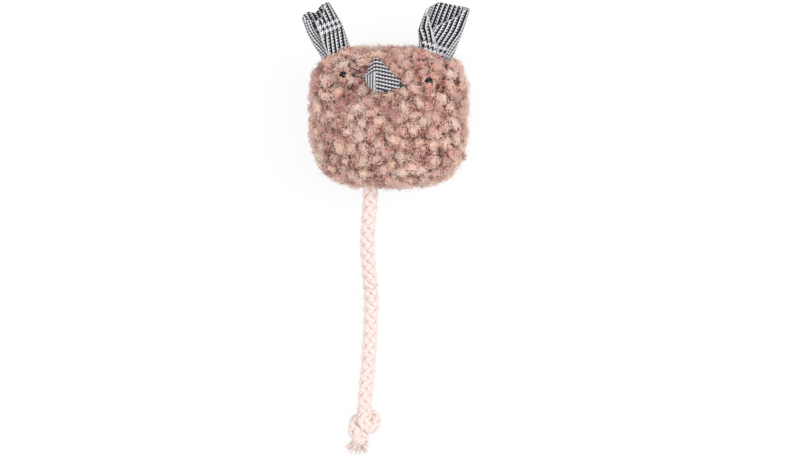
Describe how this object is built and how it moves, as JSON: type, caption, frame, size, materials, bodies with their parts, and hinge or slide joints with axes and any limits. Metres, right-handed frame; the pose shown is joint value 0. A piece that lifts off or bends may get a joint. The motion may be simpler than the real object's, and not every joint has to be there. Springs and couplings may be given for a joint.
{
  "type": "rope cat toy",
  "caption": "Stuffed fleece cat head with folded checked-cloth ears and nose, bead eyes and a knotted cotton rope tail, for a cat to bat, bite and drag.",
  "frame": {"origin": "middle of the flat patch on the back of the head, where the toy lies on a surface", "axes": "+X to the right of the face as seen from the front, +Y towards the ears, +Z out of the face, up from the surface that the toy lies on"},
  "size_m": [0.0704, 0.1923, 0.0575],
  "materials": {
    "fleece": "matte",
    "stuffing_fibre": "matte",
    "checked_cloth": "matte",
    "black_bead": "gloss",
    "black_thread": "matte",
    "tan_thread": "matte",
    "cotton_rope": "matte"
  },
  "bodies": {
    "head": {"front_panel": "fleece", "side_band": "fleece", "back_panel": "fleece", "stuffing": "stuffing_fibre", "nose_stuffing": "stuffing_fibre", "front_seam_thread": "tan_thread", "back_seam_thread": "tan_thread", "band_seam_thread": "tan_thread", "nose_cover": "checked_cloth", "nose_stitch_left": "black_thread", "nose_stitch_right": "black_thread", "eye_left": "black_bead", "eye_right": "black_bead", "eye_thread_left": "black_thread", "eye_thread_right": "black_thread", "rope_anchor": "cotton_rope"},
    "ear_left": {"ear_left": "checked_cloth"},
    "ear_right": {"ear_right": "checked_cloth"},
    "tail_root": {"rope_upper": "cotton_rope"},
    "tail_end": {"rope_lower": "cotton_rope", "rope_knot": "cotton_rope", "rope_tassel": "cotton_rope"}
  },
  "joints": [
    {"name": "ear_left_fold", "type": "hinge", "parent": "head", "child": "ear_left", "pos_m": [-0.02121, 0.02744, 0.037], "axis": [0.9135, 0.4067, 0], "range_deg": [-33, 75], "stiffness_Nm_per_rad": 0.002},
    {"name": "ear_right_fold", "type": "hinge", "parent": "head", "child": "ear_right", "pos_m": [0.02008, 0.0278, 0.037], "axis": [0.9613, -0.2756, 0], "range_deg": [-33, 75], "stiffness_Nm_per_rad": 0.002},
    {"name": "tail_sweep", "type": "hinge", "parent": "head", "child": "tail_root", "pos_m": [-0.0078, -0.03335, 0.025], "axis": [0, 0, 1], "range_deg": [-60, 60]},
    {"name": "tail_lift", "type": "hinge", "parent": "tail_root", "child": "tail_end", "pos_m": [-0.0075, -0.07812, 0.00536], "axis": [-1, 0, 0], "range_deg": [0, 90]}
  ]
}
